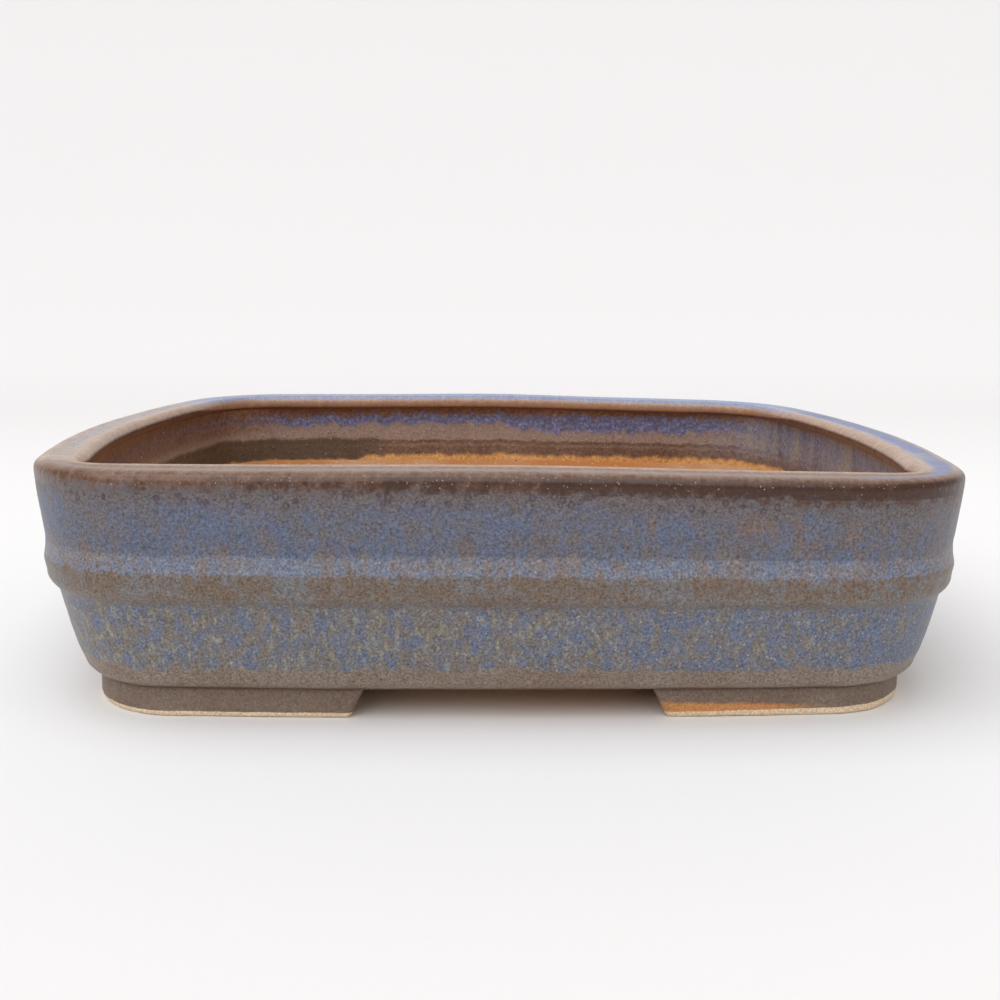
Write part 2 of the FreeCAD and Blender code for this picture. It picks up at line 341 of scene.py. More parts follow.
def guide(name, verts, edges, numbers, vectors=None):
    """A bare wire mesh that carries values at its points."""
    mesh = bpy.data.meshes.new(name)
    mesh.from_pydata(verts, edges, [])
    for label, values in numbers.items():
        mesh.attributes.new(label, "FLOAT", "POINT").data.foreach_set("value", values)
    for label, values in (vectors or {}).items():
        flat = [part for value in values for part in value]
        mesh.attributes.new(label, "FLOAT_VECTOR", "POINT").data.foreach_set("vector", flat)
    return placed(name, mesh)


def plan_guide(name, count, reach=None):
    """The plan as a closed wire. "unrolled" is the plan turned into a circle of the same length, and
    "reach" is how far in the profile's points stand there, as a share of their inset."""
    spots = [plan_at(PLAN_LENGTH * number / count) for number in range(count)]
    points = [(point.x, point.y, 0.0) for point, _ in spots]
    radius = PLAN_LENGTH / (2 * math.pi)
    turns = [2 * math.pi * number / count for number in range(count)]
    vectors = {
        "plan_point": points,
        "way_out": [(out.x, out.y, 0.0) for _, out in spots],
        "unrolled": [(radius * math.cos(turn), radius * math.sin(turn), 0.0) for turn in turns],
    }
    edges = [(number, (number + 1) % count) for number in range(count)]
    numbers = {"reach": [reach(point, out) if reach else 1.0 for point, out in spots]}
    return guide(name, [(x * MM, y * MM, z) for x, y, z in points], edges, numbers, vectors)


def profile_guide(name, points, closed=True):
    """A profile from points of inset, level, how freely the hand moves it, and 1 where it is lining."""
    count = len(points)
    verts = [(-inset * MM, -level * MM, 0.0) for inset, level, _, _ in points]
    edges = [(number, (number + 1) % count) for number in range(count if closed else count - 1)]
    labels = ("inset", "level", "give", "lining")
    return guide(name, verts, edges, {label: [float(point[place]) for point in points]
                                      for place, label in enumerate(labels)})


def set_inputs(piece, tree, values):
    """Puts a Geometry Nodes modifier on a piece and sets the tree's named inputs."""
    modifier = piece.modifiers.new(tree.name, "NODES")
    modifier.node_group = tree
    for item in tree.interface.items_tree:
        if item.in_out == "INPUT" and item.name in values:
            modifier[item.identifier] = values[item.name]


def plain(piece, name):
    """The evaluated result of a piece's modifiers as a plain mesh in its own object."""
    evaluated = piece.evaluated_get(bpy.context.evaluated_depsgraph_get())
    mesh = bpy.data.meshes.new_from_object(evaluated)
    mesh.name = name
    bpy.data.objects.remove(piece)
    return placed(name, mesh)


def finish_edges(mesh, crease_degrees=35):
    """Faces turned outwards and shaded smooth, with the edges that turn sharply kept crisp."""
    shaped = bmesh.new()
    shaped.from_mesh(mesh)
    bmesh.ops.recalc_face_normals(shaped, faces=shaped.faces)
    shaped.to_mesh(mesh)
    shaped.free()
    mesh.shade_smooth()
    mesh.set_sharp_from_angle(angle=math.radians(crease_degrees))


def laid_strip(name, profile, outside, inside, count=900, closed=True, reach=None):
    """A finished strip of clay laid round the plan."""
    piece = plan_guide(name + "_plan", count, reach)
    section = profile_guide(name + "_profile", profile, closed)
    set_inputs(piece, CLAY_STRIP, {
        "Profile": section, "Wander": HAND_WANDER, "Lumps": HAND_LUMPS, "Seed": 31.0,
        "Outside": outside, "Inside": inside,
    })
    made = plain(piece, name)
    bpy.data.objects.remove(section)
    finish_edges(made.data)
    return made


RIM_FOOT = (37.7, 40.4)  # levels between which one zone of the wall's glaze turns into the next
BAND_TOP = (31.3, 30.1)
BAND_FOOT = (28.0, 27.3)
LOWER_TOP = (23.4, 21.2)
TAUPE_TOP = (10.5, 9.7)
# The last is a dark brown line in the groove above the feet: brown glaze, with painted shade of the groove.
FOOT_GROOVE_BROWN_AND_SHADE = (6.5, 5.9)
FADE_LEVEL = 42.0  # where the rim's brown fades, and how much lower per mm to the right
FADE_LEAN = 0.014
RING_LEVELS = (42.6, 41.0)
RING_COLOUR = (66, 52, 62)


def fading(blotch, height, sideways):
    """How far the brown of the rim has faded at a height, blotch by blotch."""
    return (blotch + (FADE_LEVEL - height - sideways * FADE_LEAN) * 0.45 + 0.35).rise(0, 1)


def burst_rings(place, height):
    """Dark rings round burst bubbles, in most cells of the fading zone."""
    far, number = place.cells(1.7, squash=0.8, shift=5)
    return far.within(0.16, 0.34, 0.08) * number.rise(0.75, 0.7) * height.rise(*RING_LEVELS) * 0.7


def wall_glaze():
    """The matt ash glaze outside: blue where it lies thick, tan where it breaks thin over the clay."""
    material, shader, place = new_finish("wall_glaze", specular=0.4)
    high = built_height(place)
    sideways = place.axis("X")
    ragged = place.noise(7, squash=0.5) * 1.8 + place.noise(1.6, squash=0.5, shift=4) * 1.2
    patch = place.noise(16, squash=0.6, detail=3, shift=2)
    blotch = place.noise(2.0, squash=0.7, detail=3, rough=0.6, shift=11) * 2.6
    run = place.noise(3.0, squash=0.22, detail=3, shift=15) * 2.4
    grain = place.noise(0.42, detail=1, rough=0.7, shift=6)

    thick = blotch + patch * 1.6 + 0.55
    colour = thick.rise(0, 1).blend((103, 96, 97), (92, 100, 121))
    rust = place.noise(4.2, squash=0.3, detail=3, shift=21).rise(0.12, 0.22)
    colour = (rust * 0.6).blend(colour, (116, 95, 83))

    faded = fading(blotch * 0.9 + run * 0.5, high, sideways)
    under_rim = faded.blend((86, 60, 48), (100, 92, 93))
    under_rim = burst_rings(place, high).blend(under_rim, RING_COLOUR)
    drip = place.noise(2.2, squash=0.1, detail=3, shift=30) * 5 + place.noise(8, squash=0.2, shift=31) * 3
    reach = high + drip + blotch * 0.8 + sideways * 0.008
    colour = reach.rise(*RIM_FOOT).blend(colour, under_rim)

    band = (blotch * 1.2 + patch * 1.5 + 0.5).rise(0, 1).blend((120, 110, 108), (108, 118, 138))
    pale = place.noise(0.8, squash=0.8, detail=3, rough=0.7, shift=44).rise(0.0, 0.2)
    band = (pale * 0.5).blend(band, (144, 146, 154))
    top_of_band = high + ragged * 0.5 + blotch * 0.5
    colour = top_of_band.rise(*BAND_TOP).blend(colour, band)

    belly = (blotch * 1.1 + patch * 2.4 + 0.42).rise(0, 1).blend((110, 94, 81), (112, 111, 113))
    brown = place.noise(3, squash=0.6, detail=3, shift=46).rise(0.05, 0.2)
    belly = (brown * 0.6).blend(belly, (112, 88, 72))
    colour = (high + ragged * 0.6 + blotch * 0.3).rise(*BAND_FOOT).blend(colour, belly)

    bluer = (sideways * 0.01 + patch * 1.4 + 0.1).rise(0, 1)
    lower_thick = (blotch * 1.1 + bluer * 0.3 + run * 0.35 + 0.42).rise(0, 1)
    lower = lower_thick.blend((117, 108, 99), (97, 106, 128))
    fleck = place.noise(1.0, squash=0.32, detail=3, rough=0.6, shift=52).rise(0.02, 0.16) * (1 - bluer * 0.6)
    lower = (fleck * 0.66).blend(lower, (143, 140, 122))
    spark = place.noise(0.7, detail=2, rough=0.7, shift=56).rise(0.08, 0.2)
    lower = (spark * 0.5).blend(lower, (136, 143, 158))
    lower = (place.dots(0.8, 0.2, 0.3, shift=60) * (bluer * 0.4 + 0.35)).blend(lower, (176, 180, 190))
    colour = (high + ragged * 1.3 + blotch * 0.8).rise(*LOWER_TOP).blend(colour, lower)

    # Painted highlight: a paler line along the crest of the belt's lower ridge.
    painted_ridge_highlight = high.within(23.2, 24.0, 0.7) * place.noise(9, shift=70).rise(-0.25, 0.2)
    colour = (painted_ridge_highlight * 0.35).blend(colour, (132, 122, 113))

    taupe = (blotch * 0.6 + patch * 1.8 + 0.5).rise(0, 1).blend((124, 105, 91), (134, 121, 110))
    scallop = place.noise(5, squash=0.3, detail=3, shift=80) * 3.6
    colour = (high + scallop + blotch * 0.3).rise(*TAUPE_TOP).blend(colour, taupe)
    # Dark brown in the groove above the feet: brown glaze, with painted shade of the groove.
    colour = (high + place.noise(5, shift=84) * 0.8).rise(*FOOT_GROOVE_BROWN_AND_SHADE).blend(colour, (98, 72, 56))

    colour = colour.times(grain * 2.0 + 1)
    pit = place.dots(1.3, 0.16, 0.2, shift=90)
    colour = (pit * 0.45).blend(colour, (64, 52, 50))
    roughness = blotch * 0.05 + grain * 0.2 + patch * 0.1 + 0.42
    fine = place.noise(0.8, detail=3, rough=0.65, shift=11)
    relief = fine * 0.05 + place.noise(2.6, shift=95) * 0.1 - pit * 0.05
    dress(shader, colour, roughness, relief)
    return material


WALL_GLAZE = wall_glaze()
BARE_CLAY = bare_clay()


def slab_holes():
    """The middle and radius of each hole."""
    drains = [(Vector((side * DRAIN_X, 0)), DRAIN_RADIUS) for side in (-1, 1)]
    wires = [(Vector((side * WIRE_X, row * WIRE_Y)), WIRE_RADIUS) for side in (-1, 1) for row in (-1, 1)]
    return drains + wires


def inside_loop(loop, point):
    """Whether a line from the point towards +X crosses the loop an odd number of times."""
    odd = False
    for a, b in zip(loop, loop[1:] + loop[:1]):
        if (a.y > point.y) != (b.y > point.y):
            if point.x < (b.x - a.x) * (point.y - a.y) / (b.y - a.y) + a.x:
                odd = not odd
    return odd


def pierced_sheet(outline, holes):
    """A flat sheet of small triangles inside the outline, with a ring of points round every hole."""
    points = list(outline)
    rings = [list(range(len(outline)))]
    for centre, radius in holes:
        rings.append(list(range(len(points), len(points) + HOLE_SIDES)))
        turns = [2 * math.pi * number / HOLE_SIDES for number in range(HOLE_SIDES)]
        outer = radius + HOLE_ROUNDING
        points += [centre + Vector((math.cos(turn), math.sin(turn))) * outer for turn in turns]
    row_gap = SLAB_GRAIN * math.sqrt(0.75)
    margin = [point * SLAB_MARGIN for point in outline[::6]]
    for row in range(-int(HALF_DEPTH / row_gap), int(HALF_DEPTH / row_gap) + 1):
        for column in range(-int(HALF_LENGTH / SLAB_GRAIN), int(HALF_LENGTH / SLAB_GRAIN) + 1):
            point = Vector(((column + 0.5 * (row % 2)) * SLAB_GRAIN, row * row_gap))
            gap = min((point - centre).length - radius for centre, radius in holes)
            if gap > HOLE_ROUNDING + SLAB_GRAIN * 0.6 and inside_loop(margin, point):
                points.append(point)
    edges = [(a, b) for ring in rings for a, b in zip(ring, ring[1:] + ring[:1])]
    flat, _, faces, _, _, _ = delaunay_2d_cdt(points, edges, [], 0, 1e-5)
    kept = []
    for face in faces:
        middle = sum((flat[corner] for corner in face), Vector((0, 0))) / len(face)
        if all((middle - centre).length > radius + HOLE_ROUNDING * 0.9 for centre, radius in holes):
            kept.append(face)
    return flat, kept, rings


def bridge(first, second):
    """Four-sided faces between two rings with as many points each."""
    count = len(first)
    return [(first[n], first[(n + 1) % count], second[(n + 1) % count], second[n]) for n in range(count)]


def hole_wall():
    """Height and spread of each ring of points down a hole, with both its edges rounded."""
    turns = [math.radians(15 * number) for number in range(1, 7)]
    upper = [(FLOOR_TOP - HOLE_ROUNDING * (1 - math.cos(turn)), HOLE_ROUNDING * (1 - math.sin(turn)))
             for turn in turns]
    return upper + [(FLOOR_TOP + FLOOR_UNDER - height, spread) for height, spread in reversed(upper)]


def slab_sheets(count):
    """Both faces of the slab inside its edge, and the walls of its holes."""
    holes = slab_holes()
    spots = [plan_at(PLAN_LENGTH * number / count) for number in range(count)]
    outline = [point - out * COVE_FOOT for point, out in spots]
    flat, faces, rings = pierced_sheet(outline, holes)
    verts = []
    for level, drop in ((FLOOR_TOP, -1), (FLOOR_UNDER, 1)):
        for number, point in enumerate(flat):
            deep = noise.noise(Vector((point.x / 17, point.y / 17, level)))
            fine = noise.noise(Vector((point.x / 4, point.y / 4, level + 5)))
            free = 0 if any(number in ring for ring in rings) else 1
            dent = abs(deep + fine * 0.4) * SLAB_RIPPLE * free
            verts.append(settled(point.x, point.y, level + drop * dent))
    below = len(flat)
    solid = [tuple(face) for face in faces] + [tuple(corner + below for corner in face) for face in faces]
    for (centre, radius), top in zip(holes, rings[1:]):
        last = top
        for height, spread in hole_wall():
            ring = list(range(len(verts), len(verts) + len(top)))
            for corner in top:
                point = centre + (flat[corner] - centre).normalized() * (radius + spread)
                verts.append(settled(point.x, point.y, height))
            solid += bridge(last, ring)
            last = ring
        solid += bridge(last, [corner + below for corner in top])
    return verts, solid


def floor_slab(count=720):
    """The slab: its edge laid as a strip round the plan, joined to its two faces and hole walls."""
    edge = [(COVE_FOOT, FLOOR_TOP, 0, 1), (LAP_STEP, FLOOR_TOP, 0, 1), (LAP_STEP, LAP_LEVEL, 0, 1),
            (6.2, LAP_LEVEL, 1, 0), (6.25, 7.7, 1, 0), (6.42, 7.35, 1, 0), (6.68, 7.0, 1, 0),
            (7.0, 6.65, 1, 0), (7.3, 6.35, 1, 0), (7.62, 6.05, 1, 0), (7.95, 5.9, 1, 0),
            (8.35, 5.85, 0.6, 0), (8.9, 5.83, 0.3, 1), (10.5, FLOOR_UNDER, 0, 1),
            (COVE_FOOT, FLOOR_UNDER, 0, 1)]
    piece = laid_strip("slab_clay", edge, WALL_GLAZE, BARE_CLAY, count, closed=False)
    verts, solid = slab_sheets(count)
    sheets = bpy.data.meshes.new("slab_sheets")
    sheets.from_pydata(verts, [], solid)
    for _ in range(2):
        sheets.materials.append(None)
    whole = bmesh.new()
    whole.from_mesh(piece.data)
    clay_number = list(piece.data.materials).index(BARE_CLAY)
    edge_faces = len(whole.faces)
    whole.from_mesh(sheets)
    whole.faces.ensure_lookup_table()
    for face in whole.faces[edge_faces:]:
        face.material_index = clay_number
    bmesh.ops.remove_doubles(whole, verts=whole.verts, dist=SHEET_JOIN * MM)
    whole.to_mesh(piece.data)
    whole.free()
    finish_edges(piece.data)
    return piece


slab = floor_slab()
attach(slab, "root")
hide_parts("floor_slab")

# ------------
# Lower wall. The bowl-shaped lower tier, pressed in a mould from the same stoneware and luted
# over the slab's step with slip. It is glazed outside; inside, the clay is left bare.

BELT_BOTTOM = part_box("belt")[0].z / MM
BELT_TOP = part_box("belt")[1].z / MM
TIER_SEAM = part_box("upper_wall")[0].z / MM
LIP_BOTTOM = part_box("lip")[0].z / MM
BELT_SEAT = 3.8  # depth of the rebate that the belt sits in
SEAM_IN = 7.9  # where the wall's inner face stands at the tiers' seam, and at the top
WALL_TOP_IN = 7.3
COVE_STEPS = 14  # rings in the cove, and how suddenly it turns to the floor
COVE_TURN = 2.6
OUTLINE = (  # level and inset of the wall's outer face, as a template card gives them
    (7.3, 6.85), (8.0, 6.22), (8.8, 5.9), (10.4, 5.3), (12.1, 4.85), (13.8, 4.42), (15.5, 4.04),
    (17.2, 3.68), (18.8, 3.31), (20.2, 3.02), (21.3, 2.82), (22.0, 2.5), (22.6, 1.98), (23.1, 1.56),
    (23.6, 1.28), (24.2, 1.1), (24.9, 1.05), (25.6, 0.98), (26.3, 0.84), (26.9, 0.74), (27.5, 0.76),
    (28.4, 0.93), (29.8, 1.12), (31.3, 1.18), (32.8, 1.01), (34.3, 0.84), (35.7, 0.7), (37.1, 0.56),
    (38.5, 0.43), (40.0, 0.3), (41.4, 0.2), (42.6, 0.14),
)


def outline_at(level):
    """The outer face's inset at a level, on a smooth curve through the template's points."""
    last = len(OUTLINE) - 2
    start = min(last, max(0, sum(height <= level for height, _ in OUTLINE) - 1))
    (low, inset), (high, next_inset) = OUTLINE[start:start + 2]
    before = OUTLINE[max(0, start - 1)]
    after = OUTLINE[min(last + 1, start + 2)]
    slope_low = (next_inset - before[1]) / (high - before[0])
    slope_high = (after[1] - inset) / (after[0] - low)
    span = high - low
    share = (level - low) / span
    return ((2 * share**3 - 3 * share**2 + 1) * inset + (share**3 - 2 * share**2 + share) * span * slope_low
            + (3 * share**2 - 2 * share**3) * next_inset + (share**3 - share**2) * span * slope_high)


def outer_face(low, high, step=0.55):
    """The profile of the outer face from a low level up to a high one."""
    count = math.ceil((high - low) / step)
    levels = [low + (high - low) * number / count for number in range(count + 1)]
    return [(outline_at(level), level, 1, 0) for level in levels]


def lower_wall_profile():
    """Up the outer face, into the belt's seat, down the cove inside and under the foot."""
    cove = []
    for number in range(COVE_STEPS + 1):
        share = number / COVE_STEPS
        level = TIER_SEAM - (TIER_SEAM - FLOOR_TOP) * share
        cove.append((SEAM_IN + (COVE_FOOT - SEAM_IN) * share**COVE_TURN, level, 1 - share**4, 1))
    seat = [(BELT_SEAT, BELT_BOTTOM, 0, 0), (BELT_SEAT, TIER_SEAM, 0, 0)]
    foot = [(LAP_STEP, FLOOR_TOP, 0, 0), (LAP_STEP, LAP_LEVEL, 0, 0)]
    return outer_face(LAP_LEVEL, BELT_BOTTOM) + seat + cove + foot


wall_low = laid_strip("lower_wall_clay", lower_wall_profile(), WALL_GLAZE, BARE_CLAY)
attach(wall_low, "root")
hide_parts("lower_wall")

# ------------
# Belt. A strip of the same clay with two soft ridges, pressed into the rebate across the seam of the
# two tiers and smoothed in. The glaze runs thin over its face and gathers pale on top of it.


def belt_profile():
    """Up the belt's face, closely stepped, and down the back of its seat."""
    seat = [(BELT_SEAT, BELT_TOP, 0, 0), (BELT_SEAT, BELT_BOTTOM, 0, 0)]
    return outer_face(BELT_BOTTOM, BELT_TOP, 0.4) + seat


band = laid_strip("belt_clay", belt_profile(), WALL_GLAZE, BARE_CLAY)
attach(band, "root")
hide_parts("belt")

# ------------
# Upper wall. The straighter upper tier, luted on top of the lower one. Inside, the glaze was
# poured and has run: brown below the rim, where it is thin and where painted shade of the lip's
# overhang lies on it, blue where it pooled, then bare clay.

BROWN_AND_SHADE_FOOT = (40.0, 38.4)  # levels between which one zone of the lining turns into the next
BLUE_FOOT = (37.7, 35.7)
SETTLED_TOP = (32.6, 31.9)
CLAY_TOP = (28.8, 27.4)
UPPER_STEPS = 24  # rings inside, closest together at the top
LIP_FILLET = 0.45  # how far the wall swells to meet the lip, and how quickly
FILLET_REACH = 1.1


def lining_glaze():
    """The poured glaze inside: brown, a blue line, taupe and a settled edge over bare clay."""
    material, shader, place = new_finish("lining_glaze", specular=0.45)
    high = built_height(place)
    sideways = place.axis("X")
    speckle = place.noise(0.9, detail=3, rough=0.6, shift=3)
    grain = place.noise(0.36, shift=8)
    patch = place.noise(16, squash=0.8, detail=2, shift=5)
    drip = place.noise(2.6, squash=0.12, detail=3, shift=14) * 5 + place.noise(9, squash=0.3, shift=18) * 3
    fall = high + drip
    brown = (speckle * 1.2 + patch * 0.4 + 0.5).ramp(
        (0.2, (88, 60, 45)), (0.5, (116, 86, 68)), (0.85, (142, 114, 94)))
    blue = (speckle * 1.8 + 0.5).ramp(
        (0.2, (92, 86, 98)), (0.5, (98, 104, 146)), (0.85, (134, 142, 180)))
    taupe = (speckle * 0.9 + patch * 0.5 + 0.5).ramp(
        (0.2, (128, 108, 97)), (0.5, (147, 129, 119)), (0.85, (160, 146, 140)))
    low = (speckle + patch * 0.8 + 0.5).ramp(
        (0.2, (88, 64, 50)), (0.5, (110, 84, 68)), (0.85, (132, 108, 92)))
    clay = (speckle * 1.2 + patch * 0.8 + 0.5).ramp(
        (0.2, (180, 122, 66)), (0.5, (204, 152, 90)), (0.85, (224, 184, 128)))
    to_right = sideways.within(8, 60, 14)
    # Brown just below the rim: thin brown glaze, with painted shade of the lip's overhang.
    colour = (fall + speckle * 1.5 - to_right * 0.8).rise(*BROWN_AND_SHADE_FOOT).blend(brown, blue)
    colour = (fall + speckle * 2 + to_right * 1.6).rise(*BLUE_FOOT).blend(colour, taupe)
    colour = (sideways.rise(-48, -76) * high.rise(33, 36) * 0.8).blend(colour, brown)
    settling = fall * 0.3 + high * 0.7
    colour = settling.rise(*SETTLED_TOP).blend(colour, low)
    colour = ((settling + patch).within(30.6, 31.2, 0.5) * 0.5).blend(colour, taupe)
    # Painted shade: the left part of the lining, below the settled edge, is darkened where the pot's left
    # side shades it; the same mask brings the bare clay's edge lower there.
    dark = (sideways + patch * 30).rise(-22, -40) * (settling + patch * 2).rise(33.4, 32.4)
    colour = (dark * 0.85).blend(colour, (speckle + 0.5).blend((66, 54, 42), (98, 84, 68)))
    colour = (high + drip * 0.5 + dark * 1.5).rise(*CLAY_TOP).blend(colour, clay)
    moss = (sideways * 0.02 + patch * 0.8 - 1.0).rise(0, 0.6)
    streaks = (drip * 0.2 + speckle + 0.5).ramp(
        (0.2, (96, 92, 98)), (0.5, (124, 126, 150)), (0.8, (150, 146, 124)))
    colour = (moss * high.rise(27, 33) * 0.85).blend(colour, streaks).times(grain * 1.2 + 1)
    bump = place.dots(1.5, 0.5, 0.34, shift=25)
    roughness = speckle * 0.2 + high.rise(32, 27) * 0.35 + 0.4
    relief = speckle * 0.08 + bump * 0.14 + place.noise(2.6, shift=31) * 0.12
    dress(shader, colour, roughness, relief)
    return material


LINING_GLAZE = lining_glaze()


def upper_wall_profile():
    """Up the outer face, down the inner one and back along the belt's seat."""
    inner = []
    for number in range(UPPER_STEPS + 1):
        share = (number / UPPER_STEPS) ** 1.3
        level = LIP_BOTTOM - (LIP_BOTTOM - TIER_SEAM) * share
        swell = LIP_FILLET * math.exp(-(LIP_BOTTOM - level) / FILLET_REACH)
        inner.append((WALL_TOP_IN + (SEAM_IN - WALL_TOP_IN) * share + swell, level, 1, 1))
    seat = [(BELT_SEAT, TIER_SEAM, 0, 0), (BELT_SEAT, BELT_TOP, 0, 0)]
    return outer_face(BELT_TOP, LIP_BOTTOM) + inner + seat


def blister_tree():
    """Small glassy blisters scattered over the part of a strip between given insets and levels."""
    tree, given, start = new_tree("blisters", {
        "Strip": "Geometry", "Least inset": "Float", "Most inset": "Float", "Least level": "Float",
        "Most level": "Float", "Per square cm": "Float", "Smallest": "Float", "Largest": "Float",
        "Seed": "Int", "Finish": "Material",
    })

    def beyond(first, second):
        return start.node("ShaderNodeMath", {"operation": "GREATER_THAN"}, {0: first, 1: second})

    inset, level = start.read("inset"), start.read("level")
    here = beyond(inset, given["Least inset"]) * beyond(given["Most inset"], inset)
    here = here * beyond(level, given["Least level"]) * beyond(given["Most level"], level)
    seed = given["Seed"]
    scatter = {"Mesh": given["Strip"], "Density": given["Per square cm"] * here * 10000, "Seed": seed}
    points = start.node("GeometryNodeDistributePointsOnFaces", {}, scatter)
    turn = Socket(tree, points.socket.node.outputs["Rotation"])
    bead = start.node("GeometryNodeMeshUVSphere", {}, {"Segments": 8, "Rings": 6, "Radius": MM})
    bead = start.node("GeometryNodeTransform", {}, {
        "Geometry": bead, "Scale": (1, 1, 0.55), "Translation": (0, 0, -0.3 * MM)})
    size = start.node("FunctionNodeRandomValue", {"data_type": "FLOAT"},
                      {2: given["Smallest"], 3: given["Largest"], "Seed": seed}, 1)
    size = start.node("ShaderNodeCombineXYZ", {}, {"X": size, "Y": size, "Z": size})
    beads = start.node("GeometryNodeInstanceOnPoints", {}, {
        "Points": points, "Instance": bead, "Rotation": turn, "Scale": size})
    beads = start.node("GeometryNodeRealizeInstances", {}, {"Geometry": beads})
    beads = start.node("GeometryNodeSetMaterial", {}, {"Geometry": beads, "Material": given["Finish"]})
    joined = tree.nodes.new("GeometryNodeJoinGeometry")
    tree.links.new(beads.socket, joined.inputs[0])
    tree.links.new(given["Strip"].socket, joined.inputs[0])
    output = tree.nodes.new("NodeGroupOutput")
    tree.links.new(joined.outputs[0], output.inputs["Strip"])
    return tree


BLISTERS = blister_tree()


def blister_glass_and_glint():
    """The glassy, paler skin of a burst bubble in the glaze; its pale colour is partly a painted glint."""
    material, shader, place = new_finish("blister_glass_and_glint", specular=0.6)
    speckle = place.noise(0.3, shift=3)
    # Pale colour: partly the glassy skin of the blister, partly painted glint.
    colour = (place.noise(3, shift=8) * 1.5 + 0.5).rise(0, 1).blend((128, 106, 92), (176, 166, 158))
    dress(shader, colour, speckle * 0.2 + 0.22, speckle * 0.02)
    return material


BLISTER_GLASS_AND_GLINT = blister_glass_and_glint()


def blistered(piece, name, insets, levels, per_square_cm, radii, seed):
    """The piece with blisters scattered over it between two insets and two levels."""
    set_inputs(piece, BLISTERS, {
        "Least inset": insets[0], "Most inset": insets[1], "Least level": levels[0], "Most level": levels[1],
        "Per square cm": per_square_cm, "Smallest": radii[0], "Largest": radii[1], "Seed": seed,
        "Finish": BLISTER_GLASS_AND_GLINT,
    })
    return plain(piece, name)


wall_high = laid_strip("upper_wall_bare", upper_wall_profile(), WALL_GLAZE, LINING_GLAZE)
wall_high = blistered(wall_high, "upper_wall_clay", (7.0, 8.0), (27.0, 41.0), 2.4, (0.14, 0.34), 4)
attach(wall_high, "root")
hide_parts("upper_wall")

# ------------
# Lip. A flat, softly crowned strip luted on top of the wall, overhanging it inside. The glaze has
# left its edges thin and tan and pooled pale blue along the middle; pinholes blistered on its face.

BEAD_IN = (6.9, 7.9)  # insets between which the flat of the lip turns into its inner bead
UNDER_BEAD_BROWN_AND_SHADE = (44.1, 43.3)  # levels between which the bead turns dark brown: thin glaze with painted shade


def lip_glaze():
    """Tan where it breaks over the lip's edges, blue where it pooled, dark brown on the outer roll."""
    material, shader, place = new_finish("lip_glaze", specular=0.4)
    inset, level = (place.node("ShaderNodeAttribute", {"attribute_name": name}, {}, "Fac")
                    for name in ("inset", "level"))
    unrolled = place.node("ShaderNodeAttribute", {"attribute_name": "unrolled"}, {}, "Vector")
    across = place.node("ShaderNodeCombineXYZ", {}, {"Z": inset * 0.16})
    streak = unrolled.vector("ADD", across).noise(0.9, detail=3, shift=2)
    blotch = place.noise(1.8, detail=3, rough=0.6, shift=5) * 2.6
    patch = place.noise(14, detail=3, shift=9)
    sideways, back = place.axis("X"), place.axis("Y")
    wander = place.noise(9, shift=12) * 2.4 + streak * 1.2
    tan = (blotch * 0.7 + streak * 1.6 + 0.5).rise(0, 1).blend((144, 118, 102), (188, 168, 152))
    blue = (blotch * 0.7 + streak + 0.5).rise(0, 1).blend((148, 146, 152), (134, 148, 178))
    to_back = back.rise(-58, -30)
    pool = (inset + wander * 0.5).within(3.4, 6.4, 1.0)
    amount = to_back * ((patch * 2 + sideways * 0.004).rise(-0.3, 0.4) * 0.5 + 0.4)
    top = (pool * amount).blend(tan, blue)
    # Painted shade: along the front the top of the lip is made darker, to hold down the bright reflection it
    # catches there.
    top = (back.rise(-50, -60) * 0.7).blend(top, (98, 64, 42))
    stain = (sideways * 0.02 + patch * 1.4 - 1.2).rise(0, 0.4) * (inset + wander).within(2.5, 6, 1.0)
    top = (stain * 0.85).blend(top, (92, 108, 158))
    face = (blotch * 0.6 + patch * 1.8 - sideways * 0.006 + 0.3).rise(0, 1)
    face = face.blend((66, 42, 31), (112, 80, 61))
    face = fading(blotch * 0.9, level, sideways).blend(face, (100, 92, 93))
    face = burst_rings(place, level).blend(face, RING_COLOUR)
    roll = level - inset * 0.12 + wander * 0.06
    colour = (roll.rise(44.6, 43.9) * inset.rise(4, 2.8)).blend(top, face)
    far_side = back.rise(30, 56)
    bead = (inset - far_side * 2.2).rise(*BEAD_IN) * 0.85
    bead_tan = (blotch * 0.7 + 0.5).rise(0, 1).blend((182, 154, 132), (158, 128, 107))
    colour = bead.blend(colour, bead_tan)
    behind = (inset + wander * 0.25).rise(1.2, 2.4) * (level + wander * 0.04).rise(44.0, 44.3) * far_side
    thin_blue = (streak + 0.5).rise(0, 1).blend((118, 132, 172), (150, 160, 190))
    colour = (behind * 0.9).blend(colour, thin_blue)
    # Painted shade with thin brown glaze: the bead's inner face turns dark brown below these levels, higher
    # up on the two sides than on the far side, which faces the light.
    under = (level + far_side * 1.7 + wander * 0.04).rise(*UNDER_BEAD_BROWN_AND_SHADE) * inset.rise(6.9, 7.6)
    colour = under.blend(colour, (blotch * 0.7 + 0.5).rise(0, 1).blend((112, 80, 62), (84, 58, 44)))
    colour = colour.times(place.noise(0.45, rough=0.7, shift=20) * 1.2 + 1)
    roughness = blotch * 0.05 + patch * 0.1 + 0.34
    relief = blotch * 0.02 + streak * 0.08 + place.noise(2.2, shift=33) * 0.14
    dress(shader, colour, roughness, relief)
    return material


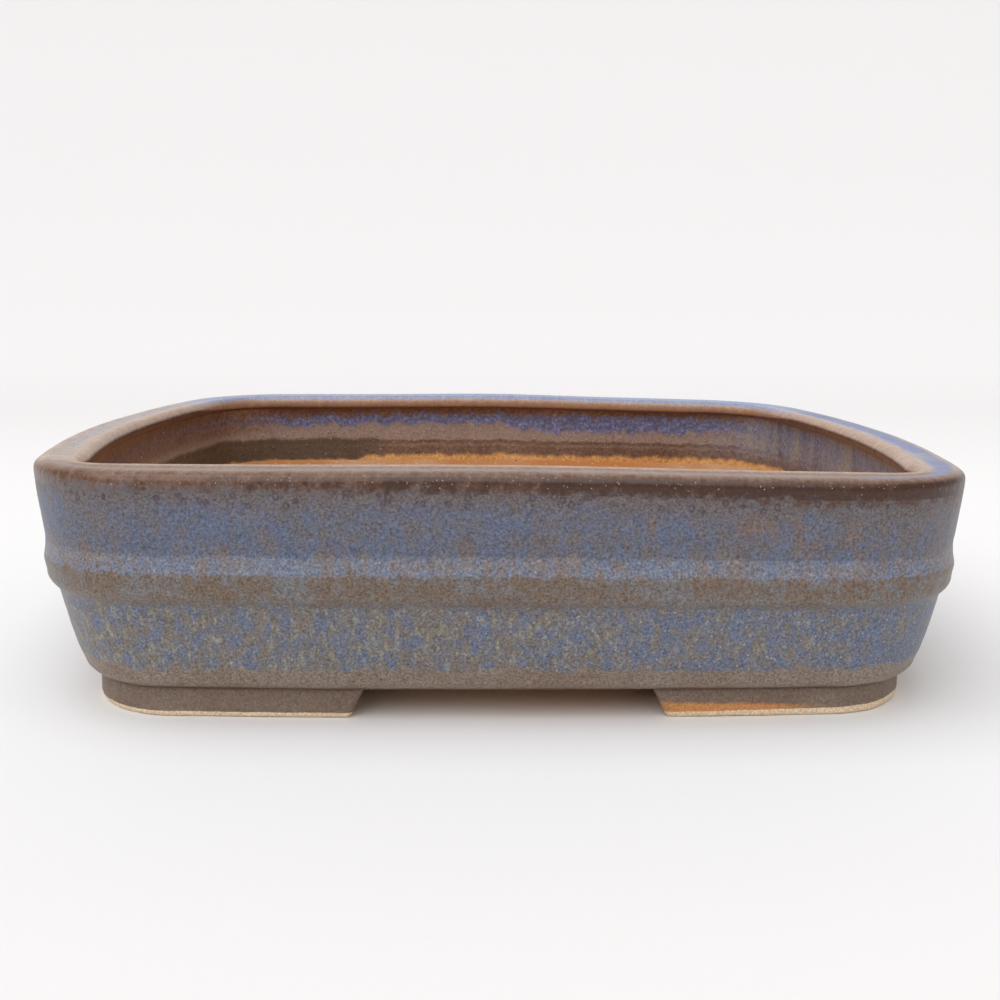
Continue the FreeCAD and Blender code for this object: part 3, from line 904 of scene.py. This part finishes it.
LIP_GLAZE = lip_glaze()
LIP_PROFILE = (  # inset, level and how freely the hand moves it
    (7.3, 41.55, 1), (6.9, LIP_BOTTOM, 0), (3.0, LIP_BOTTOM, 0), (outline_at(LIP_BOTTOM), LIP_BOTTOM, 1),
    (0.17, 41.9, 1), (0.14, 42.4, 1), (0.12, 42.8, 1), (0.13, 43.15, 1), (0.2, 43.5, 1), (0.34, 43.82, 1),
    (0.58, 44.12, 1), (0.9, 44.38, 1), (1.3, 44.58, 1), (1.8, 44.73, 1), (2.4, 44.82, 1), (3.1, 44.84, 1),
    (3.9, 44.79, 1), (4.8, 44.7, 1), (5.7, 44.64, 1), (6.5, 44.66, 1), (7.2, 44.74, 1), (7.8, 44.83, 1),
    (8.35, 44.89, 1), (8.85, 44.86, 1), (9.3, 44.74, 1), (9.7, 44.5, 1), (10.02, 44.17, 1),
    (10.28, 43.75, 1), (10.38, 43.3, 1), (10.32, 42.8, 1), (10.1, 42.36, 1), (9.78, 41.98, 1),
    (9.4, 41.64, 1), (9.0, 41.4, 1), (8.5, 41.27, 1), (7.9, 41.25, 1),
)
LEFT_NARROWING = 0.12  # how much narrower the lip is along its two ends and at its front corners
RIGHT_NARROWING = 0.05
CORNER_NARROWING = 0.26


def lip_reach(point, out):
    """How wide the lip is at a point of the plan, as a share of its full width."""
    left = min(1, max(0, (-point.x - 50) / 32))
    right = min(1, max(0, (point.x - 50) / 32))
    diagonal = max(0, 1 - abs(abs(math.degrees(math.atan2(out.y, out.x))) % 90 - 45) / 34)
    corner = diagonal * diagonal * (3 - 2 * diagonal)
    square = CORNER_NARROWING if out.y < 0 else CORNER_NARROWING / 5
    ends = LEFT_NARROWING * left * left * (3 - 2 * left) + RIGHT_NARROWING * right * right * (3 - 2 * right)
    return 1 - ends - square * corner


lip = laid_strip("lip_bare", [point + (0,) for point in LIP_PROFILE], LIP_GLAZE, LIP_GLAZE, reach=lip_reach)
lip = blistered(lip, "lip_pinholed", (0.0, 0.9), (42.4, 44.2), 40.0, (0.08, 0.14), 7)
lip = blistered(lip, "lip_clay", (1.0, 10.0), (42.5, 45.0), 2.5, (0.12, 0.24), 9)
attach(lip, "root")
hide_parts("lip")

# ------------
# Feet. Four low corner feet, pressed from one moulded strip that was luted under the slab and cut
# away along the middle of each side. They are glazed roughly and stand on a wiped, bare edge.

FOOT_MIDDLE = 14  # inset at which the gaps are measured
SECTION_MIDDLE = 14.4  # middle and half width of a foot's section
SECTION_HALF = 5.65
LONG_GAP = 47.0  # gaps between the feet on the long and the short sides
SHORT_GAP = 40.0
CUT_SHORT = 2.0  # what was cut off the front right foot
GAP_SLOPE = 2.6  # how far a foot's end slopes out from top to bottom
SLOPE_REACH = 9
END_ROUNDING = 1.3
FOOT_STEP = 0.8
FOOT_LUMP = 0.16


def foot_glaze():
    """A thin rough coat, wiped off along the bottom edge, with one toasted patch above it."""
    material, shader, place = new_finish("foot_glaze", specular=0.4)
    high = built_height(place)
    sideways = place.axis("X")
    speckle = place.noise(0.8, detail=3, rough=0.65, shift=1)
    grain = place.noise(0.36, shift=7)
    patch = place.noise(7, squash=0.5, detail=3, shift=3)
    ragged = place.noise(2.4, squash=0.5, detail=3, shift=9) * 1.2
    glaze = (speckle * 0.7 + patch * 0.9 + 0.5).ramp(
        (0.1, (104, 86, 72)), (0.4, (118, 100, 86)),
        (0.65, (126, 109, 95)), (0.95, (146, 134, 124)))
    # Dark brown along the top of the foot, in the groove under the slab: brown glaze, with painted shade of
    # the groove.
    colour = (high + ragged * 0.4).rise(4.9, 5.5).blend(glaze, (100, 76, 60))
    front_right = sideways.within(26, 52, 6) * (place.axis("Y") * -1).rise(40, 50)
    toasted = (patch * 1.6 + 0.8).rise(-0.2, 0.8) * front_right
    toasted = (high + ragged * 0.8 + sideways * 0.03).rise(4.2, 3.4) * toasted
    colour = toasted.blend(colour, (196, 136, 76))
    edge = sideways.rise(20, 80) * 0.7 + 0.95
    bare = (high + ragged * 0.25 - edge).rise(0.2, 0.0)
    colour = bare.blend(colour, (patch + 0.5).blend((218, 192, 160), (234, 214, 186)))
    colour = colour.times(grain * 1.4 + 1)
    roughness = speckle * 0.2 + bare * 0.25 + 0.55
    relief = speckle * 0.1 + grain * 0.05 + place.noise(2.2, shift=15) * 0.14
    dress(shader, colour, roughness, relief)
    return material


FOOT_GLAZE = foot_glaze()
FOOT_SECTION = (  # inset and level of the points round a foot's section
    (9.0, 5.8), (8.93, 5.45), (8.88, 5.1), (8.83, 4.6), (8.79, 4.0), (8.76, 3.3), (8.77, 2.6), (8.8, 1.9),
    (8.83, 1.2), (8.86, 0.75), (8.95, 0.45), (9.12, 0.2), (9.35, 0.06), (9.6, 0.0), (11.5, 0.0), (14.2, 0.0),
    (17.0, 0.0), (19.0, 0.0), (19.35, 0.08), (19.58, 0.3), (19.66, 0.7), (19.75, 2.0), (19.88, 4.0),
    (20.0, 5.8), (17.0, 5.8), (13.0, 5.8),
)


def foot_stations(length):
    """Distances along a foot, close together where its ends turn."""
    ends = [END_ROUNDING * (1 - math.cos(math.radians(15 * number))) for number in range(7)]
    inner = math.ceil((length - 2 * END_ROUNDING) / FOOT_STEP)
    middle = [END_ROUNDING + (length - 2 * END_ROUNDING) * number / inner for number in range(1, inner)]
    return ends + middle + [length - end for end in reversed(ends)]


def foot_ring(start, length, along):
    """The foot's section at a distance along it: rounded off, and sloped back, near both ends."""
    from_end = min(along, length - along)
    toward = 1 if along < length / 2 else -1
    off = END_ROUNDING - math.sqrt(max(0, END_ROUNDING**2 - max(0, END_ROUNDING - from_end)**2))
    fade = max(0, 1 - from_end / SLOPE_REACH)
    ring = []
    for inset, level in FOOT_SECTION:
        side = (inset - SECTION_MIDDLE) / SECTION_HALF
        low = 1 - level / FLOOR_UNDER
        point, out = plan_at(start + along + toward * GAP_SLOPE * low * fade)
        place = Vector((point.x / 6, point.y / 6, level / 4))
        lump = (noise.noise(place) * FOOT_LUMP + noise.noise(place * 3) * 0.06) * (1 if level > 0.1 else 0)
        spot = point - out * (inset - side * off - lump)
        ring.append(settled(spot.x, spot.y, level + off * low * 0.5))
    return ring


def corner_foot(name, start, length):
    """A foot as rings of its section along the plan, with both ends closed."""
    count = len(FOOT_SECTION)
    verts, faces = [], []
    stations = foot_stations(length)
    for along in stations:
        verts += foot_ring(start, length, along)
    for row in range(len(stations) - 1):
        first = list(range(row * count, (row + 1) * count))
        faces += bridge(first, [corner + count for corner in first])
    for first in (0, (len(stations) - 1) * count):
        ring = list(range(first, first + count))
        middle = sum((verts[corner] for corner in ring), Vector()) / count
        for share in (0.7, 0.4):
            inner = list(range(len(verts), len(verts) + count))
            verts += [middle.lerp(verts[corner], share) for corner in range(first, first + count)]
            faces += bridge(ring, inner)
            ring = inner
        verts.append(middle)
        faces += [(ring[n], ring[(n + 1) % count], len(verts) - 1) for n in range(count)]
    mesh = bpy.data.meshes.new(name)
    mesh.from_pydata(verts, [], faces)
    mesh.materials.append(FOOT_GLAZE)
    finish_edges(mesh)
    return placed(name, mesh)


long_half = LONG_GAP / 2 * LONG_SIDE_RADIUS / (LONG_SIDE_RADIUS - FOOT_MIDDLE)
short_half = SHORT_GAP / 2 * SHORT_SIDE_RADIUS / (SHORT_SIDE_RADIUS - FOOT_MIDDLE)
foot_length = PLAN_LENGTH / 4 - long_half - short_half
FOOT_STARTS = (  # how far round each foot starts, and how much of its length is cut off
    ("foot_front_right", long_half + CUT_SHORT, CUT_SHORT),
    ("foot_back_right", PLAN_LENGTH / 4 + short_half, 0.0),
    ("foot_back_left", PLAN_LENGTH / 2 + long_half, 0.0),
    ("foot_front_left", PLAN_LENGTH * 3 / 4 + short_half, 0.0),
)
for node, start, shorter in FOOT_STARTS:
    foot = corner_foot(node + "_clay", start, foot_length - shorter)
    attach(foot, "root")
    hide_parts(node)

# ------------
# Table top and paper sweep. One pale matt sheet lies under the pot and curves up behind it; the
# paper is a shade darker where it starts to face the light, so that it looks even.

SWEEP_FRONT, SWEEP_BACK, SWEEP_SIDE = -2.0, 0.55, 2.6  # the sheet's edges and curve, in metres
SWEEP_TURN, SWEEP_RISE, SWEEP_ANGLE = 0.9, 1.2, math.radians(76)
SWEEP_STEPS = 30


def paper_sweep():
    """The sheet, flat under the pot and curved up behind it."""
    line = [(SWEEP_FRONT, 0.0), (SWEEP_BACK, 0.0)]
    for number in range(1, SWEEP_STEPS + 1):
        turn = SWEEP_ANGLE * number / SWEEP_STEPS
        line.append((SWEEP_BACK + SWEEP_TURN * math.sin(turn), SWEEP_TURN * (1 - math.cos(turn))))
    y, z = line[-1]
    line.append((y + SWEEP_RISE * math.cos(SWEEP_ANGLE), z + SWEEP_RISE * math.sin(SWEEP_ANGLE)))
    verts = [(side * SWEEP_SIDE, y, z) for y, z in line for side in (-1, 1)]
    faces = [(n, n + 1, n + 3, n + 2) for n in range(0, len(verts) - 2, 2)]
    mesh = bpy.data.meshes.new("paper_sweep")
    mesh.from_pydata(verts, [], faces)
    mesh.shade_smooth()
    material, shader, place = new_finish("matt_paper", specular=0.1)
    colour = (place.noise(1.2, detail=3) * 0.1 + 0.5).ramp(
        (0.0, (231, 231, 231)), (1.0, (239, 239, 238)))
    height = place.axis("Z")
    away = place.axis("Y").rise(60, 480)
    shade = away * 0.42 + height.rise(4, 70) * 0.08 - height.rise(150, 650) * 0.36
    colour = shade.blend(colour, (206, 205, 204))
    dress(shader, colour, place.noise(3) * 0.1 + 0.85, place.noise(0.6) * 0.02)
    mesh.materials.append(material)
    return placed("paper_sweep", mesh)


paper_sweep()

# ------------
# Light and camera. A pale warm room, and one very broad, slightly cool light from high in front and
# to the left. The camera is held close, a little above the rim, and looks slightly down.

EYE = (-3.99, -237.66, 72.14)
EYE_DOWN, EYE_LEFT, EYE_ROLL = 0.1885, -0.0184, 0.0047

scene = bpy.context.scene
scene.view_settings.view_transform = "Standard"
world = bpy.data.worlds.new("white_room")
world.use_nodes = True
world.node_tree.nodes["Background"].inputs["Color"].default_value = (1.0, 0.93, 0.86, 1.0)
world.node_tree.nodes["Background"].inputs["Strength"].default_value = 0.42
scene.world = world

lamp = bpy.data.lights.new("overhead", "SUN")
lamp.energy = 2.58
lamp.color = (0.985, 1.0, 1.04)
lamp.angle = math.radians(80)
overhead = placed("overhead", lamp)
overhead.rotation_euler = Vector((-0.27, -0.45, 1.0)).to_track_quat("Z", "Y").to_euler()

camera = bpy.data.cameras.new("camera")
camera.lens = 39.0078
camera.sensor_width = 36.0
watcher = placed("camera", camera)
turned = (Matrix.Rotation(EYE_LEFT, 4, "Z") @ Matrix.Rotation(math.pi / 2 - EYE_DOWN, 4, "X")
          @ Matrix.Rotation(EYE_ROLL, 4, "Z"))
watcher.matrix_world = Matrix.Translation(Vector(EYE) * MM) @ turned
scene.camera = watcher
